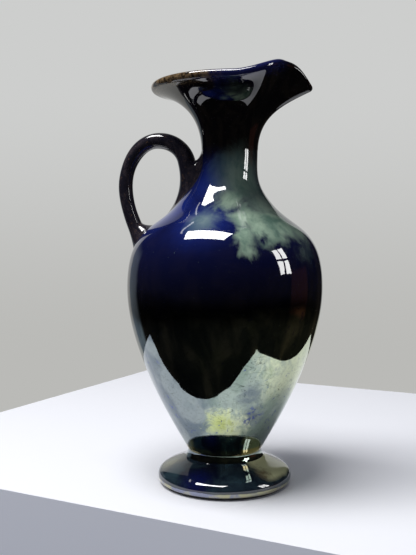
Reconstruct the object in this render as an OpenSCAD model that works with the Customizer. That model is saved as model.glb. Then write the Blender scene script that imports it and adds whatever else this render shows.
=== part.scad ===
// Single-handled pouring ewer in glazed ceramic, built from thrown and pulled parts.
// The origin is on the vessel's axis, on the surface that it stands on. +Z is up, the pouring lip
// points along +X and the handle along -X. All sizes are in millimetres.

/* [Foot] */
// Largest radius of the cushion-shaped foot
foot_r = 44.2; // [38:0.1:52]
// Height at which the foot is widest
widest_z = 5.4; // [4.5:0.1:6.5]
// Height of the foot's top face, where the body is luted on
foot_h = 18; // [17.5:0.1:18.5]
// Height of the narrow ring that the foot stands on
ring_h = 1; // [0.6:0.1:1.4]
// Outer radius of that ring
ring_r = 41; // [39.5:0.1:42]
// Depth of the hollow turned into the underside
recess_depth = 8; // [4:0.5:9]
// Radius at which the hollow meets the standing ring
recess_r = 36; // [28:0.5:37]

/* [Body] */
// Radius of the waist between foot and body
waist_r = 24.4; // [20:0.1:28]
// Height of the waist's narrowest place
waist_z = 22.2; // [22:0.1:22.6]
// Radius of the hollow curve that carries the waist out onto the foot
waist_round = 6.5; // [6:0.1:7]
// Largest radius of the belly
belly_r = 64.2; // [58:0.1:70]
// Height of the belly's largest radius
belly_z = 129; // [120:1:138]
// Thickness of the thrown wall
wall = 5; // [4:0.1:6]
// Height of the inside floor
floor_z = 30; // [26:1:36]

/* [Neck] */
// Height of the plane where the neck is luted to the shoulder
joint_z = 184; // [180:1:188]
// Outer radius at that plane
joint_r = 31; // [29:0.1:33]
// Outer radius of the neck where it is narrowest
neck_r = 18.5; // [17:0.1:21]
// Height of the narrowest place
neck_z = 217.6; // [212:0.1:224]
// How far the neck leans towards the pouring lip
neck_lean = 3.3; // [0:0.1:5]

/* [Mouth] */
// Outer radius of the level rim, about the neck's own axis
mouth_r = 51.5; // [46:0.1:56]
// Height of the middle of the level rim's rounded lip
mouth_z = 258.7; // [254:0.1:266]
// Radius of the rounded lip
lip_r = 2.6; // [2.2:0.1:3.2]
// How far the rim is raised on each side of the pouring channel
wing_lift = 9.4; // [0:0.1:14]
// How far the rim is pinched in at those two places
pinch = 6.3; // [0:0.1:10]
// How far the tip of the pouring lip stands out
beak = 2.6; // [0:0.1:8]
// How far the tip of the pouring lip hangs below the level rim
beak_drop = 1.6; // [0:0.1:3]
// How much narrower the mouth is from side to side, as a share of its radius
squeeze = 0.08; // [0:0.01:0.15]

/* [Handle] */
// Height of the middle of the handle's crown
crown_z = 225.9; // [222:0.1:230]
// Distance of the crown from the vessel's axis
crown_x = 45; // [42:0.1:48]
// Greatest distance of the handle's centre line from the vessel's axis
reach = 67.3; // [64:0.1:72]
// Height at which the handle reaches that far
reach_z = 196; // [192:0.1:200]
// Handle thickness at its upper end
grip_top = 11.8; // [10:0.1:13]
// Handle thickness along the outer side of the loop
grip = 9.4; // [8:0.1:11]
// Width of the handle, as a multiple of its thickness
grip_width = 1.15; // [1:0.01:1.3]

/* [Slip joins] */
// Thickness of the layer of slip between foot and body
foot_slip_h = 1.2; // [0.8:0.1:1.6]
// Thickness of the layer of slip between body and neck
neck_slip_h = 0.8; // [0.4:0.1:1.2]

/* [Hidden] */
$fn = 96;

// Steps along a curve, round the neck and round the handle
curve_steps = 22;
flare_steps = 10;
neck_sides = 90;
grip_sides = 28;
root_steps = 8;

// Angles of the mouth, measured from the pouring lip
wing_from = 80;
wing_full = 30;
channel_spread = 12;
pinch_at = 27;
pinch_spread = 17;
beak_spread = 9;
// Slope of the wall where it meets the lip: level rim, raised wings and beak
rim_slope = 12;
wing_slope = 45;
beak_slope = 12;
lip_run = 18;

glaze = [0.05, 0.07, 0.2];
pale_slip = [0.6, 0.57, 0.48];

// Point of a cubic curve through p[0] and p[3], pulled towards p[1] and p[2]
function curve_at(p, t) =
    pow(1 - t, 3) * p[0] + 3 * pow(1 - t, 2) * t * p[1] + 3 * (1 - t) * t * t * p[2] + pow(t, 3) * p[3];
function curve(p, steps, first = 0) = [for (i = [first:steps]) curve_at(p, i / steps)];
function reversed(list) = [for (i = [len(list) - 1:-1:0]) list[i]];

// Radius of a rising [radius, height] curve at one height, found by halving
function radius_at(p, z, lo = 0, hi = 1, n = 20) =
    let (mid = (lo + hi) / 2)
    n == 0 ? curve_at(p, mid)[0]
    : curve_at(p, mid)[1] < z ? radius_at(p, z, mid, hi, n - 1)
    : radius_at(p, z, lo, mid, n - 1);

function smooth(x) = let (c = min(max(x, 0), 1)) c * c * (3 - 2 * c);
function bell(x, spread) = exp(-pow(x / spread, 2));

// Outlines as [radius, height]. The shoulder and the neck share one direction where they meet.
join_dir = [-0.623, 0.782];
body_z = foot_h + foot_slip_h;
neck_from_z = joint_z + neck_slip_h;
neck_from_r = joint_r + join_dir[0] / join_dir[1] * neck_slip_h;

function waist_at(turn) = [waist_r + waist_round * (1 - cos(turn)), waist_z - waist_round * sin(turn)];
function waist_turn(z) = asin((waist_z - z) / waist_round);
function waist_arc(from, to, steps) = [for (k = [0:steps]) waist_at(from + (to - from) * k / steps)];
cushion_turn = 62;
stem_out = [[waist_r, waist_z], [waist_r, waist_z + 2], [belly_r, belly_z - 46.8], [belly_r, belly_z]];
shoulder_out = [
    [belly_r, belly_z],
    [belly_r, belly_z + 40.5],
    [joint_r, joint_z] - 22 * join_dir,
    [joint_r, joint_z]
];
neck_out = [
    [neck_from_r, neck_from_z],
    [neck_from_r, neck_from_z] + 12 * join_dir,
    [neck_r, neck_z - 17],
    [neck_r, neck_z]
];

inner_belly_r = belly_r - wall;
inner_joint_r = joint_r - wall / join_dir[1];
inner_neck_r = neck_r - wall;
inner_from_r = inner_joint_r + join_dir[0] / join_dir[1] * neck_slip_h;
stem_in = [
    [0.1, floor_z],
    [0.45 * inner_belly_r, floor_z],
    [inner_belly_r, belly_z - 45],
    [inner_belly_r, belly_z]
];
shoulder_in = [
    [inner_belly_r, belly_z],
    [inner_belly_r, belly_z + 36],
    [inner_joint_r, joint_z] - 23 * join_dir,
    [inner_joint_r, joint_z]
];

// The neck's axis leans away from the vessel's axis between the joint and the narrowest place
function axis_x(z) = neck_lean * smooth((z - neck_from_z) / (neck_z - neck_from_z));

// Mouth: a is the angle from the pouring lip, from -180 to 180
function raised(a) = smooth((wing_from - abs(a)) / (wing_from - wing_full)) * (1 - bell(a, channel_spread));
function lip_centre(a) = [
    mouth_r * (1 - squeeze * pow(sin(a), 2)) - lip_r
        - pinch * bell(abs(a) - pinch_at, pinch_spread) + beak * bell(a, beak_spread),
    mouth_z + wing_lift * raised(a) - beak_drop * bell(a, beak_spread)
];
function lip_slope(a) = rim_slope + wing_slope * raised(a) + beak_slope * bell(a, 2 * beak_spread);
function along(angle) = [cos(angle), sin(angle)];

function flare_out(a) =
    let (s = lip_slope(a))
    let (edge = lip_centre(a) + lip_r * along(s - 90))
    [[neck_r, neck_z], [neck_r, neck_z + 23], edge - lip_run * along(s), edge];
function flare_in(a) =
    let (s = lip_slope(a))
    let (edge = lip_centre(a) + lip_r * along(s + 90))
    [edge, edge - lip_run * along(s), [inner_neck_r, neck_z + 23], [inner_neck_r, neck_z]];
function lip(a) = [for (i = [1:5]) lip_centre(a) + lip_r * along(lip_slope(a) - 90 + 30 * i)];
neck_in = [
    [inner_neck_r, neck_z],
    [inner_neck_r, neck_z - 17],
    [inner_from_r, neck_from_z] + 12 * join_dir,
    [inner_from_r, neck_from_z]
];

// The neck's section at one angle, as a closed loop of [radius, height]
function neck_section(a) = concat(
    curve(neck_out, flare_steps),
    curve(flare_out(a), flare_steps, 1),
    lip(a),
    curve(flare_in(a), flare_steps),
    curve(neck_in, flare_steps, 1)
);

// Faces between rings of n points. The last ring joins the first when looped is true.
function ring_faces(rings, n, looped) = [
    for (i = [0:rings - (looped ? 1 : 2)])
        for (j = [0:n - 1])
            let (k = (j + 1) % n, a = i * n, b = ((i + 1) % rings) * n)
            for (f = [[a + j, a + k, b + k], [a + j, b + k, b + j]]) f
];
function flat(rings) = [for (ring = rings) for (p = ring) p];

module solid_between(rings, looped) {
    n = len(rings[0]);
    m = len(rings);
    caps = looped ? [] : [[for (j = [n - 1:-1:0]) j], [for (j = [0:n - 1]) (m - 1) * n + j]];
    polyhedron(points = flat(rings), faces = concat(ring_faces(m, n, looped), caps), convexity = 6);
}

// Handle: three curves of [distance from the axis, height], from the neck over the crown to the shoulder
upper_leg = [[25.6, 212], [27.4, 219.5], [34.5, crown_z], [crown_x, crown_z]];
outer_bend = [[crown_x, crown_z], [crown_x + 13.5, crown_z], [reach, reach_z + 14], [reach, reach_z]];
lower_leg = [[reach, reach_z], [reach, reach_z - 9], [64.5, 178], [61.4, 170.5]];
grip_line = concat(curve(upper_leg, 8), curve(outer_bend, 12, 1), curve(lower_leg, 8, 1));
grip_last = len(grip_line) - 1;

// Thickness along the handle, from 0 at the neck to 1 at the shoulder
grip_sizes = [[0, grip_top], [0.35, grip + 0.8], [0.6, grip], [0.9, grip], [1, grip + 0.4]];
function grip_at(t) = lookup(t, grip_sizes);
function direction(i) =
    let (d = grip_line[min(i + 1, grip_last)] - grip_line[max(i - 1, 0)])
    d / norm(d);

// Ring of the handle at one place on its centre line. It starts on the side away from the loop's opening.
function grip_ring(i) =
    let (d = direction(i), size = grip_at(i / grip_last) / 2)
    [for (j = [0:grip_sides - 1])
        let (a = 360 * j / grip_sides)
        let (c = grip_line[i] + size * cos(a) * [-d[1], d[0]])
        [-c[0], grip_width * size * sin(a), c[1]]];

// Outer surface of shoulder and neck at height z, a distance y to the side, on the handle's side
function skin_r(z) =
    z < joint_z ? radius_at(shoulder_out, z)
    : z < neck_from_z ? joint_r + join_dir[0] / join_dir[1] * (z - joint_z)
    : z < neck_z ? radius_at(neck_out, z) : neck_r;
function skin(y, z) = [axis_x(z) - sqrt(pow(skin_r(z), 2) - y * y), y, z];

// Footprint of a handle end on that surface: its height on the side away from the loop's opening,
// its height on the side towards the opening, and its half width
upper_print = [221, 173, 12.5];
lower_print = [150, 171.5, 10.5];
// The handle itself ends on the inner part of the print, and the slip covers the rest
grip_share = 0.7;
function print_at(fp, a, share) =
    let (mid = (fp[0] + fp[1]) / 2, half = (fp[0] - fp[1]) / 2)
    skin(share * fp[2] * sin(a), mid + share * half * cos(a));
function print_ring(fp, share) = [for (j = [0:grip_sides - 1]) print_at(fp, 360 * j / grip_sides, share)];

// Rings that leave the handle at place i along heading, and settle on the surface. Their first
// stretch is run[0] long on the side away from the loop's opening and run[1] on the side towards it.
upper_run = [3, 20];
lower_run = [7, 3];
function root_rings(i, heading, run, fp, share) =
    let (ring = grip_ring(i), d = heading * [-direction(i)[0], 0, direction(i)[1]])
    [for (step = [1:root_steps])
        [for (j = [0:grip_sides - 1])
            let (a = 360 * j / grip_sides)
            let (pull = (run[0] * (1 + cos(a)) + run[1] * (1 - cos(a))) / 2)
            let (land = print_at(fp, a, share), inward = print_at(fp, a, share - 0.35))
            curve_at([ring[j], ring[j] + pull * d, (land + inward) / 2, land], step / root_steps)]];
function upper_root(share) = root_rings(0, -1, upper_run, upper_print, share);
function lower_root(share) = root_rings(grip_last, 1, lower_run, lower_print, share);
function print_rings(fp) = [for (share = [grip_share - 0.2, grip_share - 0.4]) print_ring(fp, share)];

// Outlines of the foot: its rolled lower edge, its cushion and the hollow underneath
foot_edge = [[ring_r, ring_h], [foot_r - 0.9, ring_h], [foot_r, widest_z - 2.6], [foot_r, widest_z]];
cushion_top = waist_at(cushion_turn);
cushion_dir = [-sin(cushion_turn), cos(cushion_turn)];
cushion = [[foot_r, widest_z], [foot_r, widest_z + 5.6], cushion_top - 8 * cushion_dir, cushion_top];
hollow = [[recess_r, 0], [recess_r - 4, 2], [0.6 * recess_r, recess_depth], [0, recess_depth]];

module foot() {
    color(glaze)
    rotate_extrude()
    polygon(concat(
        [[ring_r, 0]],
        curve(foot_edge, 8),
        curve(cushion, curve_steps, 1),
        waist_arc(cushion_turn - 4, waist_turn(foot_h), 5),
        [[0, foot_h]],
        reversed(curve(hollow, 10))
    ));
}

module foot_slip() {
    color(pale_slip)
    rotate_extrude()
    polygon([[0, foot_h], waist_at(waist_turn(foot_h)), waist_at(waist_turn(body_z)), [0, body_z]]);
}

module body() {
    outside = concat(
        waist_arc(waist_turn(body_z), 4, 5),
        curve(stem_out, curve_steps),
        curve(shoulder_out, curve_steps, 1)
    );
    inside = concat(curve(stem_in, curve_steps), curve(shoulder_in, curve_steps, 1));
    color(glaze)
    rotate_extrude()
    polygon(concat([[0, body_z]], outside, reversed(inside), [[0, floor_z]]));
}

module neck_slip() {
    color(pale_slip)
    rotate_extrude()
    polygon([
        [inner_joint_r, joint_z],
        [joint_r, joint_z],
        [neck_from_r, neck_from_z],
        [inner_from_r, neck_from_z]
    ]);
}

module neck() {
    sections = [for (j = [0:neck_sides - 1]) neck_section(360 * j / neck_sides - 180)];
    rings = [for (i = [0:len(sections[0]) - 1])
        [for (j = [0:neck_sides - 1])
            let (p = sections[j][i], a = 360 * j / neck_sides - 180)
            [axis_x(p[1]) + p[0] * cos(a), p[0] * sin(a), p[1]]]];
    color(glaze)
    solid_between(rings, true);
}

module handle() {
    grip_rings = [for (i = [0:grip_last]) grip_ring(i)];
    upper_end = concat(upper_root(grip_share), print_rings(upper_print));
    lower_end = concat(lower_root(grip_share), print_rings(lower_print));
    color(glaze)
    solid_between(concat(reversed(upper_end), grip_rings, lower_end), false);
}

// A collar of slip over a handle end, from a ring of the handle out to the surface round its print
module collar(ring, outer, inner) {
    color(pale_slip)
    solid_between(concat([ring], outer, reversed(inner)), true);
}

module handle_upper_slip() {
    collar(grip_ring(0), upper_root(1), upper_root(grip_share));
}

module handle_lower_slip() {
    collar(grip_ring(grip_last), lower_root(1), lower_root(grip_share));
}

foot();
foot_slip();
body();
neck_slip();
neck();
handle();
handle_upper_slip();
handle_lower_slip();
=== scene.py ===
"""Looks of a glazed ceramic ewer: smooth thrown and pulled surfaces with a dark cobalt lustre glaze.

Every surface is made in mesh code from the same outlines as the CAD part, in metres, in its frame:
+Z up, origin on the vessel's axis at the standing ring, pouring lip towards +X, handle towards -X.
"""

import math

import bpy
import numpy as np
from mathutils import Matrix, Vector


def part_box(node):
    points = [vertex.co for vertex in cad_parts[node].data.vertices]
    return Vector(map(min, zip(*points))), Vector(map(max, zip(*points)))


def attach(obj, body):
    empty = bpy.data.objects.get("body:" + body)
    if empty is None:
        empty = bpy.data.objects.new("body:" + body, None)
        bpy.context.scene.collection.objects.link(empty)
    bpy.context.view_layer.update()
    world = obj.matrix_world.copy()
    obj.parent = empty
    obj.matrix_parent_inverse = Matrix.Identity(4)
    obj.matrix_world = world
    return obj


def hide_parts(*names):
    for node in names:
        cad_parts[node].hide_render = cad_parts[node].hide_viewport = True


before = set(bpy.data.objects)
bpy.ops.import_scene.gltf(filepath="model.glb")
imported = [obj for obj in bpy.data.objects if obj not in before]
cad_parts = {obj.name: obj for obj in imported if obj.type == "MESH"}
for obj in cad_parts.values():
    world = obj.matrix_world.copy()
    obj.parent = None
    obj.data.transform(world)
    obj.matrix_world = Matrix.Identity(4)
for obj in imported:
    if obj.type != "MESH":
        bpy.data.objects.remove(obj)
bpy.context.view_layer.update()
MM = 0.001

# ---------------------------------------------------------------- sizes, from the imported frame
foot_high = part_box("foot")[1]
body_low, body_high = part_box("body")
neck_slip_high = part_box("neck_slip")[1]
neck_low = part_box("neck")[0]

FOOT_R = foot_high.x
FOOT_H = foot_high.z
WIDEST_Z = 5.4 * MM
FOOT_EDGE = 2.6 * MM
RING_H = 1 * MM
RING_R = 41 * MM
RECESS_R = 36 * MM
RECESS_DEPTH = 8 * MM
WAIST_R = 24.4 * MM
WAIST_Z = 22.2 * MM
WAIST_ROUND = 6.5 * MM
BODY_Z = body_low.z
BELLY_R = body_high.x
BELLY_Z = 129 * MM
WALL = 5 * MM
FLOOR_Z = 30 * MM
# Radius at which the inside floor and the hollow of the foot stop short of the axis
AXIS_R = 0.1 * MM
JOINT_Z = body_high.z
JOINT_R = neck_slip_high.x
NECK_FROM_Z = neck_low.z
NECK_R = 18.5 * MM
NECK_Z = 217.6 * MM
NECK_LEAN = 3.3 * MM
MOUTH_R = NECK_LEAN - neck_low.x
MOUTH_Z = 258.7 * MM
LIP_R = 2.6 * MM
LIP_RUN = 18 * MM
WING_LIFT = 9.4 * MM
PINCH = 6.3 * MM
BEAK = 2.6 * MM
BEAK_DROP = 1.6 * MM
SQUEEZE = 0.08
# Angles of the mouth, in degrees from the pouring lip, and of its wall against level
WING_FROM = 80
WING_FULL = 30
CHANNEL_SPREAD = 12
PINCH_AT = 27
PINCH_SPREAD = 17
BEAK_SPREAD = 9
RIM_SLOPE = 12
WING_SLOPE = 45
BEAK_SLOPE = 12
CROWN_X = 45 * MM
CROWN_Z = 225.9 * MM
REACH = 67.3 * MM
REACH_Z = 196 * MM
GRIP_TOP = 11.8 * MM
GRIP = 9.4 * MM
GRIP_WIDTH = 1.15
# Where the handle's roots meet the wall: height at ring angle 0, height at 180 degrees, half width
UPPER_PRINT = np.array([221, 173, 12.5]) * MM
LOWER_PRINT = np.array([150, 171.5, 10.5]) * MM
# How far each root runs on before it turns, at ring angles 0 and 180 degrees
UPPER_RUN = (3 * MM, 20 * MM)
LOWER_RUN = (7 * MM, 3 * MM)
# How deep the end of a root goes into the wall
ROOT_DEPTH = 1.2 * MM

# Points round the vessel and round the handle, and steps along the mouth, the lip and the roots
SIDES = 256
GRIP_SIDES = 72
MOUTH_STEPS = 48
LIP_STEPS = 14
ROOT_STEPS = 26


# ---------------------------------------------------------------- curves
def smooth(x):
    c = np.clip(x, 0, 1)
    return c * c * (3 - 2 * c)


def bell(x, spread):
    return np.exp(-((x / spread) ** 2))


def curve(points, steps, first=0):
    """Points of a cubic curve, at steps + 1 even places or from a later first one."""
    p = [np.asarray(q, float) for q in points]
    t = (np.arange(first, steps + 1) / steps)[:, None]
    return (1 - t) ** 3 * p[0] + 3 * (1 - t) ** 2 * t * p[1] + 3 * (1 - t) * t * t * p[2] + t**3 * p[3]


def rises(outline, z):
    """Radius at height z on a rising outline of [radius, height]."""
    return np.interp(z, outline[:, 1], outline[:, 0])


def waist_at(turn):
    """Point of the hollow curve at the waist, where turn is 0 at its narrowest place."""
    r = WAIST_R + WAIST_ROUND * (1 - math.cos(turn))
    return np.array([r, WAIST_Z - WAIST_ROUND * math.sin(turn)])


def waist_arc(low, high, steps):
    """The hollow curve between two heights."""
    first, last = (math.asin((WAIST_Z - z) / WAIST_ROUND) for z in (low, high))
    return np.array([waist_at(t) for t in np.linspace(first, last, steps + 1)])


# ---------------------------------------------------------------- outlines, as [radius, height]
JOIN_DIR = np.array([-0.623, 0.782])
LEAD_Z = NECK_FROM_Z - JOINT_Z
NECK_FROM_R = JOINT_R + JOIN_DIR[0] / JOIN_DIR[1] * LEAD_Z
joint = np.array([JOINT_R, JOINT_Z])
neck_from = np.array([NECK_FROM_R, NECK_FROM_Z])

# Each curve goes from its first point to its last, pulled towards the two between them
waist = (WAIST_R, WAIST_Z)
belly = (BELLY_R, BELLY_Z)
stem_out = [waist, (WAIST_R, WAIST_Z + 2 * MM), (BELLY_R, BELLY_Z - 46.8 * MM), belly]
shoulder_out = [belly, (BELLY_R, BELLY_Z + 40.5 * MM), joint - 22 * MM * JOIN_DIR, joint]
neck_out = [neck_from, neck_from + 12 * MM * JOIN_DIR, (NECK_R, NECK_Z - 17 * MM), (NECK_R, NECK_Z)]

IN_BELLY_R = BELLY_R - WALL
IN_NECK_R = NECK_R - WALL
in_joint = joint - np.array([WALL / JOIN_DIR[1], 0])
in_from = neck_from - np.array([WALL / JOIN_DIR[1], 0])
in_belly = (IN_BELLY_R, BELLY_Z)
stem_in = [(AXIS_R, FLOOR_Z), (0.45 * IN_BELLY_R, FLOOR_Z), (IN_BELLY_R, BELLY_Z - 45 * MM), in_belly]
shoulder_in = [in_belly, (IN_BELLY_R, BELLY_Z + 36 * MM), in_joint - 23 * MM * JOIN_DIR, in_joint]
neck_in = [in_from, in_from + 12 * MM * JOIN_DIR, (IN_NECK_R, NECK_Z - 17 * MM), (IN_NECK_R, NECK_Z)]

CUSHION_TURN = math.radians(62)
cushion_top = waist_at(CUSHION_TURN)
cushion_dir = np.array([-math.sin(CUSHION_TURN), math.cos(CUSHION_TURN)])
widest = (FOOT_R, WIDEST_Z)
hollow_top = (AXIS_R, RECESS_DEPTH)
hollow = [(RECESS_R, 0), (RECESS_R - 4 * MM, 2 * MM), (0.6 * RECESS_R, RECESS_DEPTH), hollow_top]
foot_edge = [(RING_R, RING_H), (FOOT_R - 0.9 * MM, RING_H), (FOOT_R, WIDEST_Z - FOOT_EDGE), widest]
cushion = [widest, (FOOT_R, WIDEST_Z + 5.6 * MM), cushion_top - 8 * MM * cushion_dir, cushion_top]
foot_outline = np.vstack([
    curve(hollow, 24)[::-1],
    [(RECESS_R + 0.3 * MM, 0), (RING_R - 0.2 * MM, 0), (RING_R, 0.15 * MM)],
    curve(foot_edge, 16),
    curve(cushion, 48, 1),
    waist_arc(cushion_top[1], FOOT_H, 10)[1:],
])

# The whole outside above the waist, finely stepped, for finding the wall under the handle's roots
skin_outline = np.vstack([
    curve(stem_out, 200),
    curve(shoulder_out, 200, 1),
    curve(neck_out, 200),
    [(NECK_R, 0.26)],
])


def axis_x(z):
    """The neck's axis leans towards the pouring lip between the joint and the narrowest place."""
    return NECK_LEAN * smooth((z - NECK_FROM_Z) / (NECK_Z - NECK_FROM_Z))


# ---------------------------------------------------------------- mouth
def raised(a):
    """How much of the wings' lift the rim has at a degrees from the pouring lip."""
    lifted = smooth((WING_FROM - np.abs(a)) / (WING_FROM - WING_FULL))
    return lifted * (1 - bell(a, CHANNEL_SPREAD))


def lip_centre(a):
    """Middle of the rounded lip as [radius, height]."""
    r = MOUTH_R * (1 - SQUEEZE * np.sin(np.radians(a)) ** 2) - LIP_R
    r = r - PINCH * bell(np.abs(a) - PINCH_AT, PINCH_SPREAD) + BEAK * bell(a, BEAK_SPREAD)
    return np.array([r, MOUTH_Z + WING_LIFT * raised(a) - BEAK_DROP * bell(a, BEAK_SPREAD)])


def lip_slope(a):
    """How steeply the wall rises to the lip, in degrees."""
    return RIM_SLOPE + WING_SLOPE * raised(a) + BEAK_SLOPE * bell(a, 2 * BEAK_SPREAD)


def along(degrees):
    """Unit step outward and up at an angle above level."""
    return np.array([math.cos(math.radians(degrees)), math.sin(math.radians(degrees))])


def mouth_section(a, steps):
    """Outer flare, rounded lip and inner flare at one angle."""
    s = lip_slope(a)
    centre = lip_centre(a)
    run = LIP_RUN * along(s)
    under = centre + LIP_R * along(s - 90)
    over = centre + LIP_R * along(s + 90)
    out = curve([(NECK_R, NECK_Z), (NECK_R, NECK_Z + 23 * MM), under - run, under], steps, 1)
    lip = np.array([centre + LIP_R * along(s - 90 + 180 * k / LIP_STEPS) for k in range(1, LIP_STEPS)])
    inside = curve([over, over - run, (IN_NECK_R, NECK_Z + 23 * MM), (IN_NECK_R, NECK_Z)], steps)
    return np.vstack([out, lip, inside])


# ---------------------------------------------------------------- meshes
def grid_normals(rings):
    """Unit normals of rings of points, pointing out when the rings turn left and rise."""
    across = np.roll(rings, -1, 1) - np.roll(rings, 1, 1)
    n = np.cross(across, np.gradient(rings, axis=0))
    return n / np.maximum(np.linalg.norm(n, axis=2, keepdims=True), 1e-12)


def solid_between(name, rings, normals, looped):
    """A closed mesh of rings of points with given normals. When looped, the last ring joins the first."""
    rows, n = rings.shape[:2]
    faces = []
    for i in range(rows if looped else rows - 1):
        a, b = i * n, ((i + 1) % rows) * n
        faces += [(a + j, a + (j + 1) % n, b + (j + 1) % n, b + j) for j in range(n)]
    if not looped:
        faces.append(tuple(range(n - 1, -1, -1)))
        faces.append(tuple((rows - 1) * n + j for j in range(n)))
    mesh = bpy.data.meshes.new(name)
    mesh.from_pydata(rings.reshape(-1, 3).tolist(), [], faces)
    mesh.update()
    mesh.shade_smooth()
    mesh.normals_split_custom_set_from_vertices(normals.reshape(-1, 3).tolist())
    piece = bpy.data.objects.new(name, mesh)
    bpy.context.scene.collection.objects.link(piece)
    return piece


def stands_for(piece, material, slot, *nodes):
    """Give a piece its glaze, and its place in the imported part."""
    piece.data.materials.append(material)
    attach(piece, "root")
    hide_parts(*nodes)
    return piece


def wobble(a, z):
    """How far a thrown wall falls short of a true round, in metres. It is never negative."""
    w = 0.5 * np.sin(2 * a + 1.3 + z / 0.031) + 0.3 * np.sin(3 * a - 0.6 - z / 0.019)
    w = w + 0.2 * np.sin(5 * a + 2.1 + z / 0.011)
    return 0.00012 * (1 + w)


def turned(sections, angles):
    """Rings from a [row][angle] array of [radius, height], about the leaning axis."""
    r, z = sections[..., 0], sections[..., 1]
    a = angles[None, :]
    return np.stack([axis_x(z) + r * np.cos(a), r * np.sin(a), z], 2)


angles = np.radians(np.arange(SIDES) * 360 / SIDES - 180)


def same_all_round(outline):
    return np.repeat(outline[:, None, :], SIDES, 1)


outer_foot = same_all_round(foot_outline)
outer_body = same_all_round(
    np.vstack([waist_arc(BODY_Z, WAIST_Z, 14), curve(stem_out, 72, 1), curve(shoulder_out, 60, 1)])
)
outer_neck = same_all_round(curve(neck_out, 40))
mouth = np.stack([mouth_section(d, MOUTH_STEPS) for d in np.degrees(angles)], 1)
inner_neck = same_all_round(curve(neck_in, 24)[::-1][1:])
inner_body = same_all_round(np.vstack([curve(stem_in, 48), curve(shoulder_in, 36, 1)])[::-1])
parts = [outer_foot, outer_body, outer_neck, mouth, inner_neck, inner_body]
ends = np.cumsum([len(p) for p in parts])
sections = np.vstack(parts)
sections[: ends[2], :, 0] -= wobble(angles[None, :], sections[: ends[2], :, 1])
vessel = turned(sections, angles)
vessel_normals = grid_normals(vessel)


def rows_between(first, last):
    """Row numbers of the vessel's grid from one named end to another."""
    return list(range(first, last))


def cut_from(name, rows, looped):
    """One piece of the vessel's grid, which keeps the grid's normals, so that no seam shows."""
    return solid_between(name, vessel[rows], vessel_normals[rows], looped)


# ---------------------------------------------------------------- handle, as [distance from axis, height]
upper_leg = np.array([(25.6, 212), (27.4, 219.5), (34.5, 225.9), (45, 225.9)]) * MM
crown = (CROWN_X, CROWN_Z)
farthest = (REACH, REACH_Z)
outer_bend = [crown, (CROWN_X + 13.5 * MM, CROWN_Z), (REACH, REACH_Z + 14 * MM), farthest]
lower_leg = [farthest, (REACH, REACH_Z - 9 * MM), (64.5 * MM, 178 * MM), (61.4 * MM, 170.5 * MM)]
grip_line = np.vstack([curve(upper_leg, 36), curve(outer_bend, 56, 1), curve(lower_leg, 36, 1)])
# Thickness by the share of the way along the handle
grip_sizes = np.array([
    (0, GRIP_TOP),
    (0.35, GRIP + 0.8 * MM),
    (0.6, GRIP),
    (0.9, GRIP),
    (1, GRIP + 0.4 * MM),
])
grip_angles = np.radians(np.arange(GRIP_SIDES) * 360 / GRIP_SIDES)


def skin(y, z):
    """Point of the wall's outside on the handle's side, at a sideways place y and height z."""
    a = math.pi - np.arcsin(y / rises(skin_outline, z))
    r = rises(skin_outline, z) - wobble(a, z)
    return np.stack([axis_x(z) - np.sqrt(r**2 - y**2), y, z], -1)


def print_at(footprint, share):
    """Ring on the wall, at a share of the footprint of a handle's root."""
    top, low, width = footprint
    z = (top + low) / 2 + share * (top - low) / 2 * np.cos(grip_angles)
    return skin(share * width * np.sin(grip_angles), z)


def root(ring, heading, footprint, run, steps):
    """Rings that carry the handle's end ring over to its footprint, meeting the wall without a crease."""
    pull = (run[0] * (1 + np.cos(grip_angles)) + run[1] * (1 - np.cos(grip_angles)))[:, None] / 2
    brim = print_at(footprint, 0.8)
    land = print_at(footprint, 1)
    t = (np.arange(1, steps + 1) / steps)[:, None, None]
    blend = (1 - t) ** 3 * ring + 3 * (1 - t) ** 2 * t * (ring + pull * heading)
    return blend + 3 * (1 - t) * t * t * brim + t**3 * land


def wall_normals(ring):
    """Outward normals of the vessel's wall at points on it."""
    x, y, z = ring.T
    x = x - axis_x(z)
    r = np.hypot(x, y)
    slope = (rises(skin_outline, z + MM) - rises(skin_outline, z - MM)) / (2 * MM)
    n = np.stack([x / r, y / r, -slope], 1)
    return n / np.linalg.norm(n, axis=1, keepdims=True)


def grip_rings():
    """Rings along the handle, with a slightly uneven thickness as of a pulled strap."""
    heading = np.gradient(grip_line, axis=0)
    heading /= np.linalg.norm(heading, axis=1, keepdims=True)
    run = np.linspace(0, 1, len(grip_line))
    size = np.interp(run, grip_sizes[:, 0], grip_sizes[:, 1])
    size = size * (1 - 0.012 * (1 + np.sin(23 * run)) * np.sin(math.pi * run))
    out = size[:, None] / 2 * np.cos(grip_angles)
    distance = grip_line[:, :1] - out * heading[:, 1:]
    height = grip_line[:, 1:] + out * heading[:, :1]
    width = GRIP_WIDTH * size[:, None] / 2 * np.sin(grip_angles)
    rings = np.stack([-distance, width, height], 2)
    return rings, np.stack([-heading[:, 0], 0 * heading[:, 0], heading[:, 1]], 1)


grip, grip_heading = grip_rings()
upper_root = root(grip[0], -grip_heading[0], UPPER_PRINT, UPPER_RUN, ROOT_STEPS)[::-1]
lower_root = root(grip[-1], grip_heading[-1], LOWER_PRINT, LOWER_RUN, ROOT_STEPS)
whole_grip = np.vstack([upper_root, grip, lower_root])
whole_normals = grid_normals(whole_grip)
whole_normals[0] = wall_normals(whole_grip[0])
whole_normals[-1] = wall_normals(whole_grip[-1])


def sunk(ring):
    """The same ring pushed into the wall, so that a root has no open edge."""
    return (ring - ROOT_DEPTH * wall_normals(ring))[None]


# ---------------------------------------------------------------- material nodes
def colour(red, green, blue):
    """A colour from 0-255 display values, in linear light."""
    shares = [c / 255 for c in (red, green, blue)]
    return tuple(c / 12.92 if c < 0.0405 else ((c + 0.055) / 1.055) ** 2.4 for c in shares) + (1,)


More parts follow.
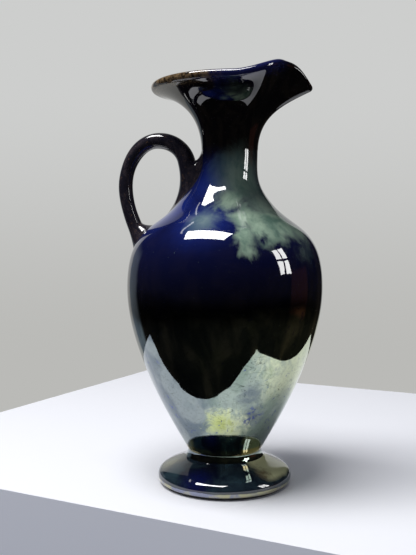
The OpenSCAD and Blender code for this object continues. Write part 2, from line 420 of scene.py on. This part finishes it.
class Nodes:
    """Short ways to add nodes to one material. An input is a number, a colour or another node's output."""

    def __init__(self, tree):
        self.tree = tree
        self.place = self.add("ShaderNodeTexCoord").outputs["Object"]

    def add(self, kind, **settings):
        node = self.tree.nodes.new(kind)
        for name, value in settings.items():
            setattr(node, name, value)
        return node

    def feed(self, socket, value):
        if isinstance(value, bpy.types.NodeSocket):
            self.tree.links.new(value, socket)
        else:
            socket.default_value = value

    def math(self, operation, *values):
        node = self.add("ShaderNodeMath", operation=operation)
        for socket, value in zip(node.inputs, values):
            self.feed(socket, value)
        return node.outputs[0]

    def step(self, value, low, high):
        """0 below low and 1 above high, or the other way round when low is the larger."""
        node = self.add("ShaderNodeMapRange", interpolation_type="SMOOTHSTEP")
        top_down = low > high
        ends = (high, low, 1, 0) if top_down else (low, high, 0, 1)
        for socket, v in zip(node.inputs, (value, *ends)):
            self.feed(socket, v)
        return node.outputs[0]

    def mix(self, share, a, b):
        node = self.add("ShaderNodeMix", data_type="RGBA")
        for name, value in (("Factor_Float", share), ("A_Color", a), ("B_Color", b)):
            self.feed(next(i for i in node.inputs if i.identifier == name), value)
        return next(o for o in node.outputs if o.identifier == "Result_Color")

    def noise(self, size, detail=3.0, rough=0.55, bend=0.0, stretch=(1, 1, 1), shift=(0, 0, 0)):
        """Cloudy noise from 0 to 1, whose patches are about size metres across."""
        mapping = self.add("ShaderNodeMapping")
        self.feed(mapping.inputs["Vector"], self.place)
        mapping.inputs["Scale"].default_value = stretch
        mapping.inputs["Location"].default_value = shift
        node = self.add("ShaderNodeTexNoise")
        self.feed(node.inputs["Vector"], mapping.outputs[0])
        settings = {"Scale": 1 / size, "Detail": detail, "Roughness": rough, "Distortion": bend}
        for name, value in settings.items():
            self.feed(node.inputs[name], value)
        return node.outputs["Fac"]

    def near(self, point, radius, soft, wander=None, amount=0.0):
        """1 within radius of a point and 0 past soft, with an uneven edge."""
        node = self.add("ShaderNodeVectorMath", operation="DISTANCE")
        self.feed(node.inputs[0], self.place)
        node.inputs[1].default_value = point
        away = node.outputs["Value"]
        if wander is not None:
            away = self.math("MULTIPLY_ADD", wander, amount, away)
        return self.step(away, soft, radius)

    def facing(self, degrees):
        """1 on the side of the vessel at this angle from the pouring lip, and -1 on the far side."""
        split = self.add("ShaderNodeSeparateXYZ")
        self.feed(split.inputs[0], self.place)
        x = self.math("MULTIPLY", split.outputs[0], math.cos(math.radians(degrees)))
        y = self.math("MULTIPLY_ADD", split.outputs[1], math.sin(math.radians(degrees)), x)
        xx = self.math("MULTIPLY", split.outputs[0], split.outputs[0])
        rr = self.math("MULTIPLY_ADD", split.outputs[1], split.outputs[1], xx)
        return self.math("DIVIDE", y, self.math("SQRT", self.math("ADD", rr, 1e-8)))

    def height(self):
        split = self.add("ShaderNodeSeparateXYZ")
        self.feed(split.inputs[0], self.place)
        return split.outputs[2]


def new_glaze(name):
    """A new material, the helper for its nodes, and its shader."""
    material = bpy.data.materials.new(name)
    material.use_nodes = True
    shader = material.node_tree.nodes["Principled BSDF"]
    return material, Nodes(material.node_tree), shader


# Glaze colours
INK = colour(7, 7, 12)
NIGHT = colour(14, 18, 56)
NIGHT_EDGE = colour(24, 28, 74)
COBALT = colour(25, 42, 118)
CLOUD = colour(160, 182, 160)
CLOUD_DEEP = colour(88, 116, 104)
RUST = colour(140, 116, 84)
UMBER = colour(28, 27, 37)
SOOT = colour(7, 5, 8)
PEARL_BLUE = colour(106, 118, 126)
PEARL_GREEN = colour(142, 160, 146)
PEARL_GOLD = colour(168, 180, 84)
PEARL_WHITE = colour(200, 208, 200)
PEARL_CREAM = colour(220, 228, 190)
# Pale gold of the painted reflection line at the waist crease
WAIST_REFLECTION_GOLD = colour(208, 196, 146)
SPOT_BLUE = colour(66, 78, 150)
SCRATCH = colour(46, 54, 50)
# Unglazed clay, darkened to near-black so that it also paints the shadow under the foot
SHADOWED_CLAY = colour(24, 20, 18)
FOOT_NIGHT = colour(14, 20, 36)
FOOT_TEAL = colour(42, 60, 68)
FOOT_BLUE = colour(12, 18, 66)
# Pale colour of the painted reflections on the foot
FOOT_REFLECTION_PALE = colour(214, 214, 166)
STAIN = colour(84, 60, 42)
PEARL_LILAC = colour(142, 146, 166)
PEARL_STRAW = colour(184, 182, 150)
HANDLE_BROWN = colour(60, 53, 57)
FLECK = colour(116, 88, 62)


def glaze_waves(n, shader, depth):
    """Slow waves and fine orange peel where the glaze ran and set."""
    slow = n.noise(0.022, 1.5, 0.5, 0.3)
    fine = n.noise(0.0035, 2.0, 0.5)
    bump = n.add("ShaderNodeBump")
    bump.inputs["Distance"].default_value = depth
    bump.inputs["Strength"].default_value = 1.0
    n.feed(bump.inputs["Height"], n.math("MULTIPLY_ADD", fine, 0.05, slow))
    n.feed(shader.inputs["Normal"], bump.outputs["Normal"])


def any_of(n, *masks):
    """The strongest of several masks."""
    most = masks[0]
    for mask in masks[1:]:
        most = n.math("MAXIMUM", most, mask)
    return most


def hairlines(n, size, width, stretch, shift):
    """Thin wandering lines, such as scratches."""
    off = n.math("ABSOLUTE", n.math("SUBTRACT", n.noise(size, 1.5, 0.5, 1.2, stretch, shift), 0.5))
    return n.step(off, width, 0.0)


def vessel_colours(n):
    """Cobalt between an inky neck and a black belly, with grey-green clouds over the shoulder. The cobalt
    is brightest round the shoulder and neck highlights, which paints part of the window's light.
    """
    z = n.height()
    patches = n.noise(0.024, 5.0, 0.62, 0.4)
    drips = n.noise(0.010, 4.0, 0.6, 0.2, (1, 1, 0.4))
    paint = n.mix(n.step(z, 0.112, 0.165), INK, NIGHT)
    # Cobalt glaze made brightest round the shoulder and neck highlights, where the window light falls:
    # partly glaze colour, partly painted light
    cobalt_and_light_shoulder = n.near((-0.006, -0.046, 0.176), 0.004, 0.044, patches, 0.020)
    cobalt_and_light_neck_foot = n.near((-0.008, -0.021, 0.200), 0.006, 0.032, patches, 0.012)
    round_handle = n.near((-0.034, -0.016, 0.180), 0.014, 0.044, patches, 0.020)
    behind = n.math("MULTIPLY", n.step(n.facing(150), 0.2, 1.0), n.step(z, 0.150, 0.180))
    paint = n.mix(any_of(n, cobalt_and_light_shoulder, cobalt_and_light_neck_foot, round_handle, behind), paint, COBALT)
    paint = n.mix(n.step(n.math("MULTIPLY_ADD", patches, 0.02, z), 0.206, 0.232), paint, SOOT)
    cloud = any_of(
        n,
        n.near((0.009, -0.031, 0.184), 0.028, 0.040, patches, 0.045),
        n.near((0.020, -0.038, 0.174), 0.030, 0.042, patches, 0.045),
        n.near((0.030, -0.038, 0.169), 0.032, 0.044, patches, 0.045),
        n.near((0.039, -0.029, 0.171), 0.030, 0.044, patches, 0.045),
        n.math("MULTIPLY", n.near((0.048, -0.022, 0.167), 0.024, 0.042, patches, 0.045), 0.8),
        n.near((0.016, -0.019, 0.198), 0.014, 0.042, patches, 0.030),
        n.math("MULTIPLY", n.near((0.030, -0.018, 0.182), 0.018, 0.042, patches, 0.030), 0.7),
        n.near((0.020, -0.051, 0.161), 0.016, 0.026, drips, 0.030),
        n.near((0.023, -0.056, 0.153), 0.013, 0.020, drips, 0.026),
        n.near((-0.024, 0.040, 0.176), 0.022, 0.040, patches, 0.040),
        n.math("MULTIPLY", n.near((-0.005, -0.044, 0.172), 0.018, 0.034, patches, 0.036), 0.55),
        n.math("MULTIPLY", n.near((0.052, -0.029, 0.152), 0.008, 0.022, drips, 0.026), 0.4),
    )
    blots = any_of(
        n,
        n.near((0.003, -0.037, 0.177), 0.010, 0.018, drips, 0.022),
        n.near((0.030, -0.049, 0.160), 0.012, 0.020, drips, 0.024),
        n.near((0.010, -0.050, 0.167), 0.006, 0.013, drips, 0.016),
        n.near((0.042, -0.036, 0.161), 0.008, 0.018, drips, 0.022),
    )
    cloud = n.math("MULTIPLY", cloud, n.math("SUBTRACT", 1.0, blots))
    tone = n.mix(n.step(n.math("MULTIPLY_ADD", drips, 0.5, patches), 0.55, 0.95), CLOUD_DEEP, CLOUD)
    paint = n.mix(n.math("MULTIPLY", cloud, 0.95), paint, tone)
    specks = n.step(n.noise(0.0016, 2.0, 0.7), 0.72, 0.80)
    return n.mix(n.math("MULTIPLY", specks, 0.35), paint, CLOUD)


def lustre_colours(n):
    """Pearly lustre of the lower body: blue-grey, green, cream and a gold patch, with fine scratches, and a
    pale gold band at the waist crease that paints the reflected line seen there.
    """
    z = n.height()
    broad = n.noise(0.022, 4.0, 0.6, 0.6)
    grain = n.noise(0.0022, 4.0, 0.75)
    streaks = n.noise(0.008, 4.0, 0.65, 0.8, (1, 1, 0.7), (1, 4, 2))
    milky = n.noise(0.020, 2.5, 0.5, 0.9, (1, 1, 0.6), (3, 1, 2))
    green = n.step(n.math("MULTIPLY_ADD", broad, 0.9, n.facing(-35)), 0.6, 1.3)
    paint = n.mix(green, PEARL_BLUE, PEARL_GREEN)
    paint = n.mix(n.math("MULTIPLY", n.step(milky, 0.44, 0.60), 0.28), paint, PEARL_WHITE)
    right = n.step(n.math("MULTIPLY_ADD", streaks, 0.7, n.facing(-20)), 1.05, 1.35)
    right = n.math("MULTIPLY", right, n.step(n.math("MULTIPLY_ADD", broad, 0.02, z), 0.062, 0.084))
    paint = n.mix(n.math("MULTIPLY", right, 0.85), paint, PEARL_CREAM)
    cool = any_of(
        n,
        n.near((0.022, -0.042, 0.066), 0.010, 0.020, streaks, 0.018),
        n.near((0.022, -0.034, 0.0515), 0.008, 0.018, streaks, 0.014),
    )
    paint = n.mix(n.math("MULTIPLY", cool, 0.8), paint, PEARL_BLUE)
    cream = n.near((0.007, -0.034, 0.047), 0.022, 0.030, streaks, 0.030)
    paint = n.mix(n.math("MULTIPLY", cream, 0.9), paint, PEARL_CREAM)
    gold = n.near((0.004, -0.036, 0.047), 0.014, 0.025, streaks, 0.024)
    high = n.near((0.036, -0.044, 0.080), 0.006, 0.016, streaks, 0.022)
    paint = n.mix(n.math("MULTIPLY", any_of(n, gold, high), 0.75), paint, PEARL_GOLD)
    # Painted reflection: a pale gold band round the waist crease, standing in for the thin line of plinth
    # that the crease mirrors
    waist_reflection_line = n.math("MULTIPLY", n.step(z, 0.0221, 0.0228), n.step(z, 0.0274, 0.0256))
    paint = n.mix(waist_reflection_line, paint, WAIST_REFLECTION_GOLD)
    dots = n.step(n.noise(0.0024, 3.0, 0.6, 0.5), 0.52, 0.60)
    dotted = n.math("MULTIPLY", dots, n.near((0.022, -0.034, 0.0515), 0.004, 0.012))
    stray = n.step(n.noise(0.004, 3.0, 0.6, 0.5), 0.62, 0.67)
    stray = n.math("MULTIPLY", stray, n.step(milky, 0.56, 0.44))
    paint = n.mix(n.math("MULTIPLY", n.math("MAXIMUM", dotted, stray), 0.7), paint, SPOT_BLUE)
    scratched = n.step(n.noise(0.020, 2.0, shift=(5, 0, 0)), 0.46, 0.60)
    level = (1, 1, 2.6)
    long_lines = hairlines(n, 0.016, 0.005, level, (0, 0, 0))
    short_lines = hairlines(n, 0.011, 0.004, level, (7, 3, 0))
    lines = n.math("MULTIPLY", n.math("MAXIMUM", long_lines, short_lines), scratched)
    marks = hairlines(n, 0.007, 0.03, level, (2, 2, 2))
    marks = n.math("MULTIPLY", marks, n.near((0.027, -0.048, 0.084), 0.004, 0.011))
    paint = n.mix(n.math("MULTIPLY", n.math("MAXIMUM", lines, marks), 0.85), paint, SCRATCH)
    return n.mix(n.math("MULTIPLY", n.step(grain, 0.50, 0.36), 0.20), paint, SCRATCH)


def vessel_glaze():
    """Cobalt glaze above, mirror-like lustre below an uneven border, and rust on the worn lip."""
    material, n, shader = new_glaze("lustre_glaze")
    edge = n.math("MULTIPLY_ADD", n.noise(0.03, 3.0), 0.024, n.height())
    lustre = n.step(edge, 0.142, 0.126)
    paint = n.mix(n.step(edge, 0.131, 0.114), vessel_colours(n), lustre_colours(n))
    lip = n.add("ShaderNodeAttribute", attribute_name="lip").outputs["Fac"]
    worn = n.math("MULTIPLY", lip, n.step(n.noise(0.0028, 4.0, 0.7), 0.36, 0.70))
    worn = n.math("MULTIPLY", worn, n.step(n.facing(-150), 0.3, 0.75))
    paint = n.mix(n.math("MULTIPLY", lip, n.step(n.facing(-62), 0.75, 0.95)), paint, NIGHT_EDGE)
    n.feed(shader.inputs["Base Color"], n.mix(n.math("MULTIPLY", worn, 0.8), paint, RUST))
    n.feed(shader.inputs["Metallic"], lustre)
    n.feed(shader.inputs["Roughness"], n.math("MULTIPLY_ADD", n.noise(0.006, 3.0), 0.05, 0.012))
    shader.inputs["IOR"].default_value = 1.8
    glaze_waves(n, shader, 0.22 * MM)
    return material


def foot_glaze():
    """Dark blue-green glaze with a lustrous rolled edge, pale patches painted as reflections, and unglazed
    clay at the ring darkened to near-black as painted shadow under the foot.
    """
    material, n, shader = new_glaze("foot_glaze")
    z = n.height()
    patches = n.noise(0.018, 4.0, 0.6, 0.5)
    paint = n.mix(n.step(patches, 0.40, 0.68), FOOT_NIGHT, FOOT_TEAL)
    blue = n.near((-0.012, -0.038, 0.008), 0.004, 0.022, patches, 0.014)
    paint = n.mix(blue, paint, FOOT_BLUE)
    # Painted reflection: pale patches on the cushion's top, strongest on the right, for the bright
    # surroundings that the foot's glaze mirrors
    pale = any_of(
        n,
        n.near((0.034, -0.008, 0.013), 0.024, 0.032, patches, 0.018),
        n.math("MULTIPLY", n.near((-0.034, -0.008, 0.012), 0.008, 0.024, patches, 0.018), 0.3),
        n.math("MULTIPLY", n.near((0.000, 0.036, 0.012), 0.008, 0.024, patches, 0.018), 0.7),
    )
    pale = n.math("MULTIPLY", pale, n.step(n.math("MULTIPLY_ADD", patches, 0.003, z), 0.0096, 0.0122))
    paint = n.mix(n.math("MULTIPLY", pale, 0.9), paint, FOOT_REFLECTION_PALE)
    stain = n.near((0.028, -0.022, 0.0125), 0.008, 0.016, n.noise(0.005, 4.0, 0.7), 0.016)
    paint = n.mix(n.math("MULTIPLY", stain, 0.8), paint, STAIN)
    rolled = n.step(n.math("MULTIPLY_ADD", patches, 0.0020, z), 0.0062, 0.0050)
    tint = n.noise(0.012, 3.0, 0.6, 0.5, shift=(2, 0, 0))
    pearl = n.mix(n.step(tint, 0.42, 0.58), PEARL_LILAC, PEARL_STRAW)
    paint = n.mix(n.step(rolled, 0.3, 0.9), paint, pearl)
    # Unglazed clay of the standing ring, darkened to near-black: this paints the contact shadow under the
    # foot
    ring_clay_and_shadow = n.step(z, 0.0024, 0.0018)
    n.feed(shader.inputs["Base Color"], n.mix(ring_clay_and_shadow, paint, SHADOWED_CLAY))
    n.feed(shader.inputs["Metallic"], n.math("MULTIPLY", rolled, n.math("SUBTRACT", 1.0, ring_clay_and_shadow)))
    glossy = n.math("MULTIPLY_ADD", patches, 0.06, 0.015)
    n.feed(shader.inputs["Roughness"], n.math("MULTIPLY_ADD", ring_clay_and_shadow, 0.6, glossy))
    shader.inputs["IOR"].default_value = 1.9
    glaze_waves(n, shader, 0.3 * MM)
    return material


def handle_glaze():
    """Blue-black glaze that thins to brown, with rust flecks."""
    material, n, shader = new_glaze("handle_glaze")
    flecks = n.noise(0.0025, 4.0, 0.7)
    brushed = n.noise(0.009, 4.0, 0.65, 0.8, (1, 2.5, 0.8))
    paint = n.mix(n.step(brushed, 0.42, 0.72), UMBER, HANDLE_BROWN)
    paint = n.mix(n.math("MULTIPLY", n.step(flecks, 0.58, 0.74), 0.55), paint, FLECK)
    n.feed(shader.inputs["Base Color"], paint)
    n.feed(shader.inputs["Roughness"], n.math("MULTIPLY_ADD", flecks, 0.08, 0.03))
    shader.inputs["IOR"].default_value = 1.8
    glaze_waves(n, shader, 0.3 * MM)
    return material


# ---------------------------------------------------------------- pieces
vessel_look = vessel_glaze()
foot_look = foot_glaze()
handle_look = handle_glaze()

foot_end, body_end, neck_end, _, bore_end, cavity_end = (int(e) for e in ends)
body_rows = rows_between(foot_end, body_end) + rows_between(bore_end, cavity_end)
neck_rows = rows_between(body_end, bore_end)
join_rows = [body_end - 1, body_end, bore_end - 1, bore_end]

stands_for(cut_from("ewer_foot", rows_between(0, foot_end), False), foot_look, "glaze_foot", "foot")
waist_join = cut_from("ewer_waist_join", [foot_end - 1, foot_end], False)
stands_for(waist_join, vessel_look, "glaze_join", "foot_slip")
stands_for(cut_from("ewer_body", body_rows, False), vessel_look, "glaze_body", "body")
stands_for(cut_from("ewer_neck_join", join_rows, True), vessel_look, "glaze_join", "neck_slip")
neck = cut_from("ewer_neck", neck_rows, True)
stands_for(neck, vessel_look, "glaze_neck", "neck")

# How near each point of the neck is to the crest of the lip, for the glaze that thins there:
# 1 within 3 rows of it and 0 past 15
crest = neck_end - body_end + MOUTH_STEPS + LIP_STEPS // 2 - 1
rows_away = np.abs(np.arange(len(neck_rows)) - crest)
lip_share = neck.data.attributes.new("lip", "FLOAT", "POINT")
lip_share.data.foreach_set("value", np.repeat(smooth((15 - rows_away) / 12), SIDES))

first, last = ROOT_STEPS, ROOT_STEPS + len(grip)
handle = solid_between("ewer_handle", whole_grip[first:last], whole_normals[first:last], False)
stands_for(handle, handle_look, "glaze_handle", "handle")
upper = np.vstack([sunk(whole_grip[0]), whole_grip[: first + 1]])
upper_normals = np.vstack([whole_normals[:1], whole_normals[: first + 1]])
upper_collar = solid_between("ewer_handle_upper_join", upper, upper_normals, False)
stands_for(upper_collar, handle_look, "glaze_join", "handle_upper_slip")
lower = np.vstack([whole_grip[last - 1:], sunk(whole_grip[-1])])
lower_normals = np.vstack([whole_normals[last - 1:], whole_normals[-1:]])
lower_collar = solid_between("ewer_handle_lower_join", lower, lower_normals, False)
stands_for(lower_collar, handle_look, "glaze_join", "handle_lower_slip")

# ---------------------------------------------------------------- camera, floor and light
VIEW_SIDE = math.radians(10)
view_right = Vector((math.cos(VIEW_SIDE), math.sin(VIEW_SIDE), 0))
view_ahead = Vector((-math.sin(VIEW_SIDE), math.cos(VIEW_SIDE), 0))
up = Vector((0, 0, 1))


def from_view(right, ahead, height):
    """A place measured from the vessel's foot, to the camera's right, away from it and up."""
    return view_right * right + view_ahead * ahead + up * height


def look(obj, place, target):
    """Put an object at a place, turned towards a target."""
    obj.location = place
    obj.rotation_euler = (target - place).to_track_quat("-Z", "Y").to_euler()


def add_camera():
    """The camera, just above the vessel's middle height and tilted a little down."""
    camera = bpy.data.objects.new("camera", bpy.data.cameras.new("camera"))
    bpy.context.scene.collection.objects.link(camera)
    eye = from_view(-0.011, -0.495, 0.158)
    tilt = math.radians(2.63)
    look(camera, eye, eye + view_ahead * math.cos(tilt) - up * math.sin(tilt))
    camera.data.sensor_width = 36
    camera.data.lens = 48.65
    camera.data.clip_start = 0.01
    bpy.context.scene.camera = camera


def board(name, paint):
    """Matt painted board."""
    material = bpy.data.materials.new(name)
    material.use_nodes = True
    shader = material.node_tree.nodes["Principled BSDF"]
    shader.inputs["Base Color"].default_value = paint
    shader.inputs["Roughness"].default_value = 0.55
    return material


def add_plinth():
    """A square white block that the vessel stands on, turned a little against the view."""
    half = 0.216
    turn = math.radians(-27) + VIEW_SIDE
    centre = from_view(0.0095, 0.1445, 0)
    side = Vector((math.cos(turn), math.sin(turn), 0))
    depth = Vector((-side.y, side.x, 0))
    corners = [centre + side * half * i + depth * half * j for i, j in ((-1, -1), (1, -1), (1, 1), (-1, 1))]
    points = [c - up * 0.9 for c in corners] + corners
    faces = [(3, 2, 1, 0), (4, 5, 6, 7)] + [(k, (k + 1) % 4, (k + 1) % 4 + 4, k + 4) for k in range(4)]
    mesh = bpy.data.meshes.new("plinth")
    mesh.from_pydata(points, [], faces)
    mesh.materials.append(board("white_board", colour(236, 237, 242)))
    # The side faces get their own bluish white, which paints the cool tint of their shade
    mesh.materials.append(board("white_board_side_shade_tint", colour(243, 246, 255)))
    for face in mesh.polygons:
        face.material_index = 0 if face.normal.z > 0.5 else 1
    block = bpy.data.objects.new("plinth", mesh)
    bpy.context.scene.collection.objects.link(block)


def towards(side, rise, away):
    """A place so many degrees right of straight ahead and above level, and so far from the vessel."""
    s, e = math.radians(side), math.radians(rise)
    level = away * math.cos(e)
    return from_view(level * math.sin(s), level * math.cos(s), middle.z + away * math.sin(e))


def add_window(name, low, high, width, brightness, lights_things=True, reflected=True):
    """A rectangular light between two places, which are the middles of two opposite sides."""
    light = bpy.data.lights.new(name, "AREA")
    light.shape = "RECTANGLE"
    light.size = (high - low).length
    light.size_y = width
    light.energy = brightness * math.pi * light.size * light.size_y
    lamp = bpy.data.objects.new(name, light)
    bpy.context.scene.collection.objects.link(lamp)
    centre = (low + high) / 2
    along_x = (high - low).normalized()
    out = (centre - middle).normalized()
    along_z = (out - along_x * out.dot(along_x)).normalized()
    along_y = along_z.cross(along_x)
    turn = Matrix((along_x, along_y, along_z)).transposed().to_4x4()
    lamp.matrix_world = Matrix.Translation(centre) @ turn
    lamp.visible_camera = False
    lamp.visible_diffuse = lights_things
    lamp.visible_glossy = reflected


def add_world():
    """A pale wall for the eye, a dark room with one pale wall for reflections, and even fill light."""
    world = bpy.data.worlds.new("studio")
    bpy.context.scene.world = world
    world.use_nodes = True
    tree = world.node_tree
    n = Nodes(tree)
    background = tree.nodes["Background"]
    direction = n.add("ShaderNodeTexCoord").outputs["Generated"]

    def part(axis):
        node = n.add("ShaderNodeVectorMath", operation="DOT_PRODUCT")
        n.feed(node.inputs[0], direction)
        node.inputs[1].default_value = axis
        return node.outputs["Value"]

    rise = n.math("ARCSINE", part(up))
    side = n.math("ARCTAN2", part(view_right), part(view_ahead))

    def band(value, low, high, soft):
        a, b, c = (math.radians(v) for v in (low, high, soft))
        return n.math("MULTIPLY", n.step(value, a - c, a + c), n.step(value, b + c, b - c))

    higher = n.step(rise, math.radians(-9), math.radians(12))
    wall = n.mix(higher, colour(186, 186, 183), colour(205, 206, 205))
    dim = n.add("ShaderNodeTexNoise")
    for name, value in (("Vector", direction), ("Scale", 2.5), ("Detail", 3.0), ("Distortion", 0.6)):
        n.feed(dim.inputs[name], value)
    room = n.mix(n.step(dim.outputs["Fac"], 0.42, 0.66), colour(20, 20, 19), colour(40, 36, 31))
    shelf = n.math("MULTIPLY", band(side, 72, 100, 2), band(rise, -16, 9, 2))
    room = n.mix(shelf, room, colour(72, 46, 38))
    left = n.math("MULTIPLY", band(side, -55, -20, 4), band(rise, -40, 14, 5))
    room = n.mix(left, room, colour(124, 134, 142))
    back = n.math("MULTIPLY", band(side, -33, 24, 1), band(rise, -60, 56, 1))
    shade = n.math("MULTIPLY_ADD", n.step(rise, math.radians(14), math.radians(44)), -0.6, 1.0)
    room = n.mix(n.math("MULTIPLY", back, shade), room, wall)
    cornice = n.math("MULTIPLY", band(side, -70, -32.5, 0.4), band(rise, 57.2, 58.6, 0.4))
    room = n.mix(cornice, room, (3, 3, 3, 1))
    path = n.add("ShaderNodeLightPath")
    fill = colour(122, 124, 132)
    seen = n.mix(path.outputs["Is Glossy Ray"], fill, room)
    n.feed(background.inputs["Color"], n.mix(path.outputs["Is Camera Ray"], seen, wall))
    background.inputs["Strength"].default_value = 1.0


def add_windows():
    """A long window overhead, a soft light on the left and a small four-pane window on the right."""
    add_window("window_high", towards(-88, 60, 1.3), towards(172, 73, 1.3), 0.42, 17)
    add_window("soft_left", towards(-120, 38, 1.3), towards(-92, 38, 1.3), 0.4, 5.0, reflected=False)
    for left, right in ((100.5, 107), (110, 116.5)):
        for bottom, top in ((7, 20), (22.5, 35)):
            low = towards((left + right) / 2, bottom, 1.5)
            high = towards((left + right) / 2, top, 1.5)
            name = f"window_pane_{left:.0f}_{bottom}"
            width = 1.5 * math.radians(right - left)
            add_window(name, low, high, width, 9, lights_things=False)


middle = Vector((0, 0, 0.13))
add_camera()
add_plinth()
add_world()
add_windows()
bpy.context.scene.view_settings.view_transform = "Standard"
